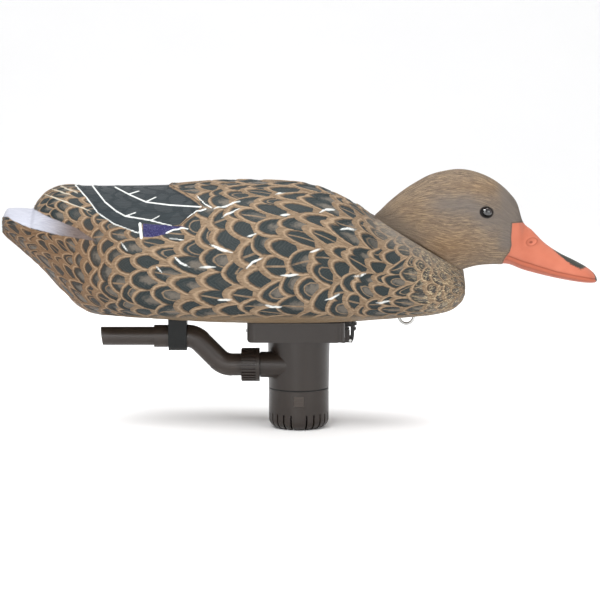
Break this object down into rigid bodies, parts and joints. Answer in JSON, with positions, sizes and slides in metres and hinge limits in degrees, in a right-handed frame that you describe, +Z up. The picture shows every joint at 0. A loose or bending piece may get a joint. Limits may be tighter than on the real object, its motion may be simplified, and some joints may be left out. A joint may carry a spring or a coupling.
{
  "type": "swimming duck decoy",
  "caption": "Floating hen duck decoy: hollow hull with lift-off back cover, low forward head, and a pump hung below that jets water aft through a nozzle.",
  "frame": {"origin": "on the waterline, in the duck's plane of symmetry, amidships", "axes": "+X forward to the bill, +Z up, +Y to the duck's left"},
  "size_m": [0.446, 0.1594, 0.1948],
  "materials": {
    "hull_plastic": "painted matt",
    "cover_plastic": "painted matt",
    "seal_rubber": "foam rubber",
    "bay_plastic": "moulded, satin",
    "deck_screw_steel": "stainless",
    "deck_magnet_plate": "nickel plated",
    "cover_magnet_plate": "nickel plated",
    "battery_case": "satin",
    "terminal_brass": "tinned tab",
    "boot_vinyl": "soft vinyl",
    "wire_vinyl": "soft vinyl",
    "strap_webbing": "woven",
    "case_plastic": "satin",
    "case_lid_plastic": "satin",
    "board_laminate": "varnished",
    "switch_plastic": "glossy",
    "rocker_plastic": "glossy",
    "case_screw_steel": "stainless",
    "lead_jacket": "soft vinyl",
    "lead_gland_nylon": "satin",
    "grommet_rubber": "soft",
    "plate_plastic": "moulded, satin",
    "plate_screw_steel": "stainless",
    "plate_nut_steel": "stainless",
    "bracket_plastic": "moulded, satin",
    "latch_plastic": "satin",
    "latch_pin_steel": "stainless",
    "pump_plastic": "moulded, satin",
    "pump_screw_steel": "stainless",
    "pump_gland_nylon": "satin",
    "motor_can_steel": "plated",
    "motor_cap_nylon": "satin",
    "ferrite": "sintered",
    "bearing_bronze": "sintered",
    "shaft_steel": "ground",
    "armature_windings": "enamelled wire",
    "shaft_seal_rubber": "soft",
    "impeller_plastic": "satin",
    "intake_plastic": "satin",
    "strainer_plastic": "moulded, satin",
    "strainer_seal_rubber": "soft",
    "button_plastic_right": "satin",
    "button_plastic_left": "satin",
    "nut_plastic": "moulded, satin",
    "washer_nylon": "satin",
    "union_seal_rubber": "soft",
    "pipe_plastic": "moulded, satin",
    "nozzle_plastic": "extruded, satin",
    "strap_plastic": "satin",
    "strap_screw_steel": "stainless",
    "eye_steel": "stainless wire",
    "anchor_nut_steel": "stainless",
    "head_plastic": "painted matt",
    "eye_gloss": "polished",
    "neck_screw_steel": "stainless"
  },
  "bodies": {
    "decoy": {"hull_shell": "hull_plastic", "cover_seal": "seal_rubber", "battery_bay": "bay_plastic", "deck_screws": "deck_screw_steel", "deck_magnets": "deck_magnet_plate", "battery": "battery_case", "battery_terminals": "terminal_brass", "terminal_boots": "boot_vinyl", "battery_wires": "wire_vinyl", "battery_strap": "strap_webbing", "control_case": "case_plastic", "control_lid": "case_lid_plastic", "control_board": "board_laminate", "switch_body": "switch_plastic", "case_screws": "case_screw_steel", "pump_lead": "lead_jacket", "lead_gland": "lead_gland_nylon", "hull_grommet": "grommet_rubber", "base_plate": "plate_plastic", "plate_screws": "plate_screw_steel", "plate_nuts": "plate_nut_steel", "pump_bracket": "bracket_plastic", "latch_pin": "latch_pin_steel", "pump_housing": "pump_plastic", "pump_screws": "pump_screw_steel", "pump_gland": "pump_gland_nylon", "motor_can": "motor_can_steel", "motor_cap": "motor_cap_nylon", "motor_magnets": "ferrite", "motor_bearings": "bearing_bronze", "shaft_seal": "shaft_seal_rubber", "intake_plate": "intake_plastic", "strainer": "strainer_plastic", "strainer_seal": "strainer_seal_rubber", "union_seal": "union_seal_rubber", "s_bend_pipe": "pipe_plastic", "pipe_strap": "strap_plastic", "strap_screws": "strap_screw_steel", "anchor_eye": "eye_steel", "anchor_nuts": "anchor_nut_steel", "head_shell": "head_plastic", "eyes": "eye_gloss", "neck_screws": "neck_screw_steel"},
    "cover": {"back_cover": "cover_plastic", "cover_magnets": "cover_magnet_plate"},
    "rocker": {"switch_rocker": "rocker_plastic"},
    "rotor": {"motor_shaft": "shaft_steel", "armature": "armature_windings", "impeller": "impeller_plastic"},
    "latch": {"latch_lever": "latch_plastic"},
    "right_button": {"release_button_right": "button_plastic_right"},
    "left_button": {"release_button_left": "button_plastic_left"},
    "nut_carriage": {"thrust_washer": "washer_nylon"},
    "nut": {"union_nut": "nut_plastic"},
    "nozzle": {"nozzle_tube": "nozzle_plastic"}
  },
  "joints": [
    {"name": "cover_lift", "type": "slide", "parent": "decoy", "child": "cover", "axis": [0, 0, 1], "range_m": [0, 0.12]},
    {"name": "switch_rock", "type": "hinge", "parent": "decoy", "child": "rocker", "pos_m": [-0.084, 0, 0.0437], "axis": [1, 0, 0], "range_deg": [0, 20]},
    {"name": "rotor_spin", "type": "hinge", "parent": "decoy", "child": "rotor", "pos_m": [0.0476, 0, -0.06], "axis": [0, 0, 1], "continuous": true},
    {"name": "latch_swing", "type": "hinge", "parent": "decoy", "child": "latch", "pos_m": [0.0862, 0, -0.032], "axis": [0, 1, 0], "range_deg": [0, 100]},
    {"name": "right_button_press", "type": "slide", "parent": "decoy", "child": "right_button", "axis": [0, 1, 0], "range_m": [0, 0.0015], "stiffness_N_per_m": 800},
    {"name": "left_button_press", "type": "slide", "parent": "decoy", "child": "left_button", "axis": [0, -1, 0], "range_m": [0, 0.0015], "stiffness_N_per_m": 800},
    {"name": "nut_travel", "type": "slide", "parent": "decoy", "child": "nut_carriage", "axis": [-1, 0, 0], "range_m": [0, 0.007]},
    {"name": "nut_turn", "type": "hinge", "parent": "nut_carriage", "child": "nut", "pos_m": [0.01, -0.0115, -0.0496], "axis": [-1, 0, 0], "range_deg": [0, 1255]},
    {"name": "nozzle_turn", "type": "hinge", "parent": "decoy", "child": "nozzle", "pos_m": [-0.07, -0.0115, -0.028], "axis": [-1, 0, 0], "continuous": true}
  ],
  "couplings": [
    {"joint": "nut_travel", "follows": "nut_turn", "m_per_rad": 0.00031831}
  ]
}
